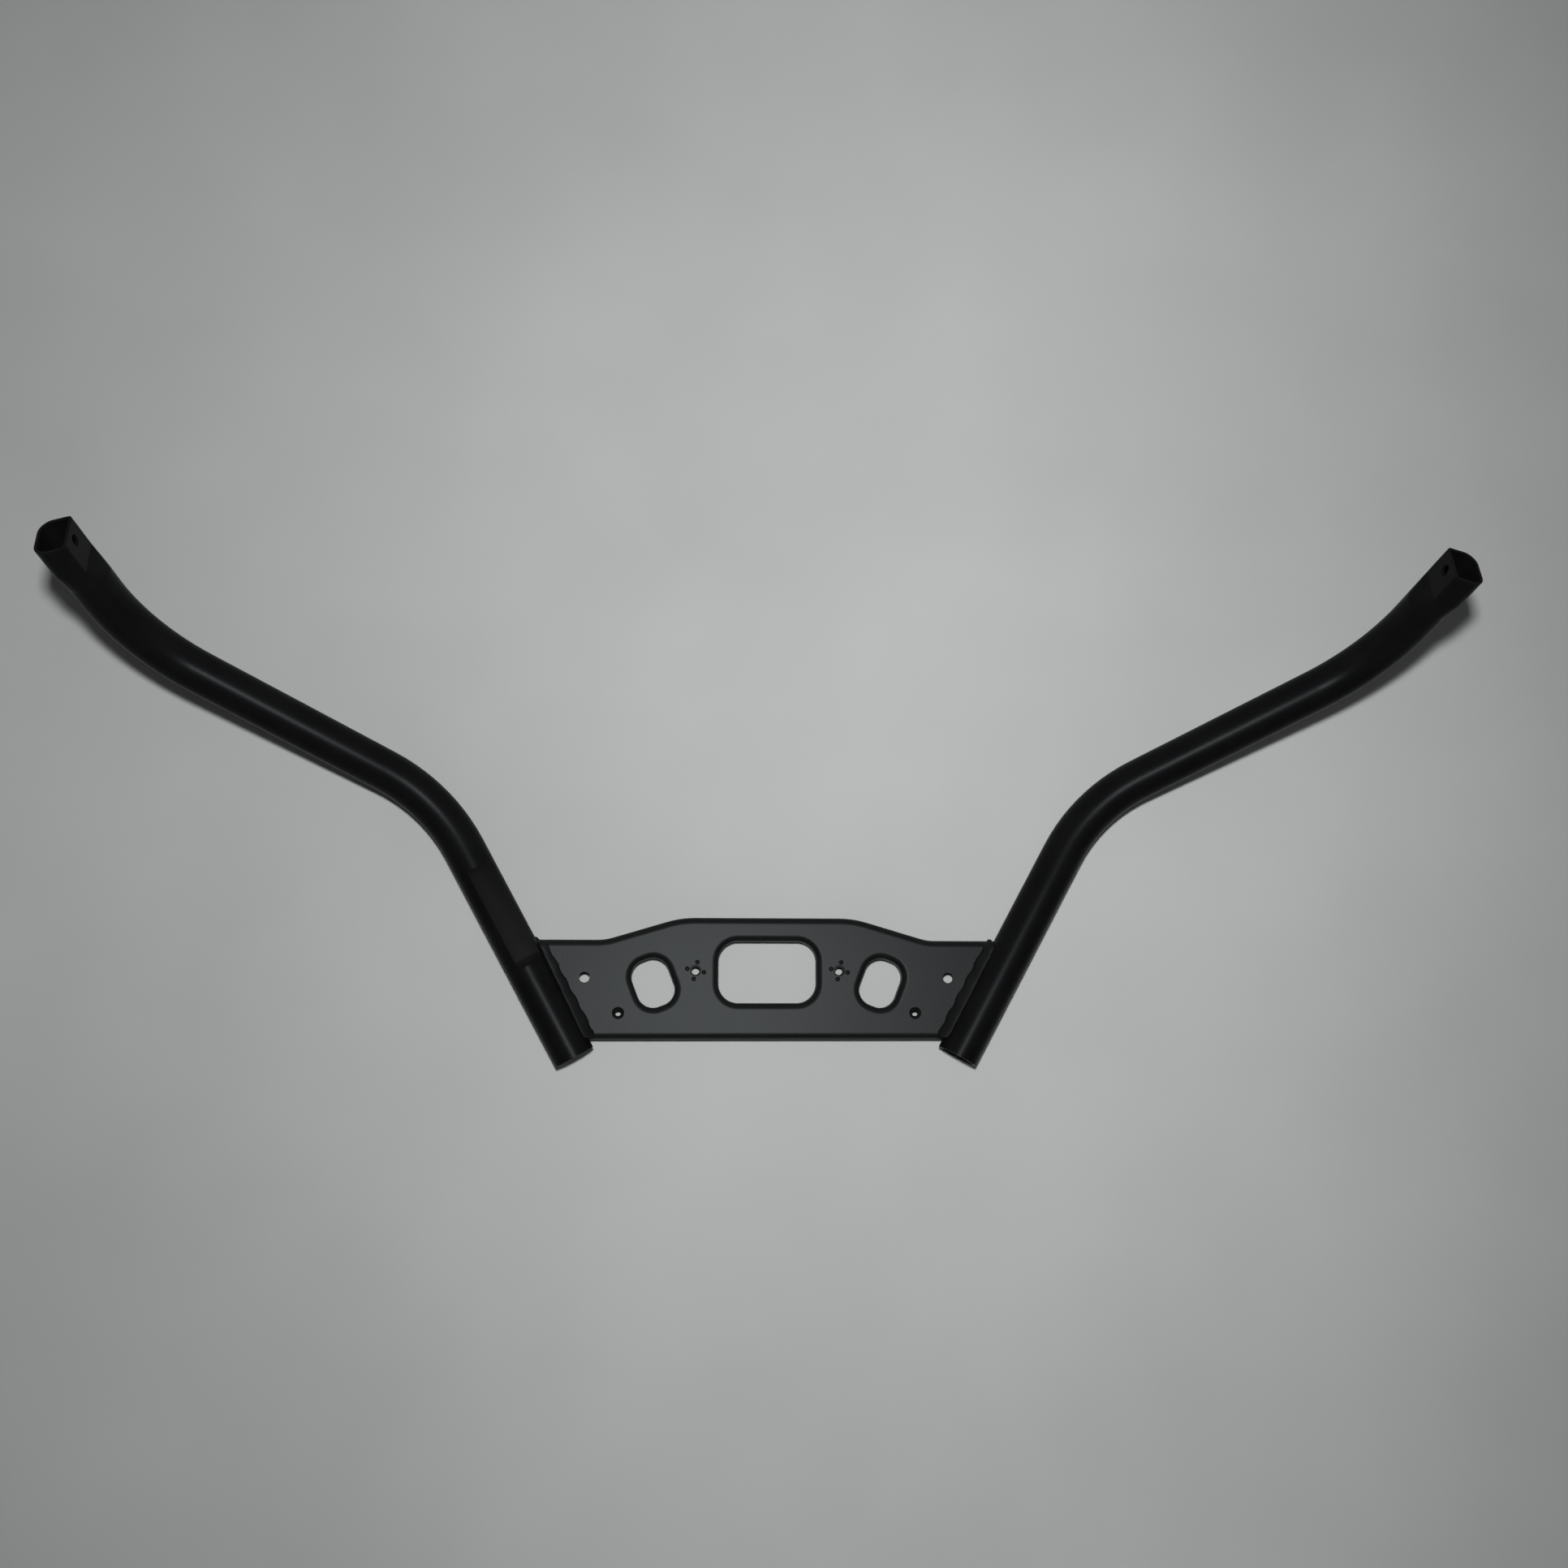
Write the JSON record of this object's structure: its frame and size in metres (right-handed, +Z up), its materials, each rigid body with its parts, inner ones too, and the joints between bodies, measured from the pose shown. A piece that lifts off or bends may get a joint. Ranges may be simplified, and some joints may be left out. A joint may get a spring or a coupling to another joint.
{
  "type": "atv front bumper",
  "caption": "Black front bumper for a quad bike: bent tubes spread from a pressed plate with rolled edges, a window, slots and bolt holes; the pressed tube tips take bolts.",
  "frame": {"origin": "midway between the two outer bolt holes, on the plate's near face", "axes": "+X across the machine, to the right in the picture; +Z up; -Y out of the plate's near face, the way the arms sweep"},
  "size_m": [0.8086, 0.1422, 0.2991],
  "materials": {
    "tube_coat": "satin black powder coat",
    "plate_coat": "satin black powder coat",
    "weld_coat": "black powder coat over a rippled bead",
    "nut_coat": "black powder coat, thread bare"
  },
  "bodies": {
    "root": {"left_tube": "tube_coat", "right_tube": "tube_coat", "center_plate": "plate_coat", "left_front_weld": "weld_coat", "right_front_weld": "weld_coat", "left_back_weld": "weld_coat", "right_back_weld": "weld_coat", "left_weld_nut": "nut_coat", "right_weld_nut": "nut_coat"}
  },
  "joints": []
}
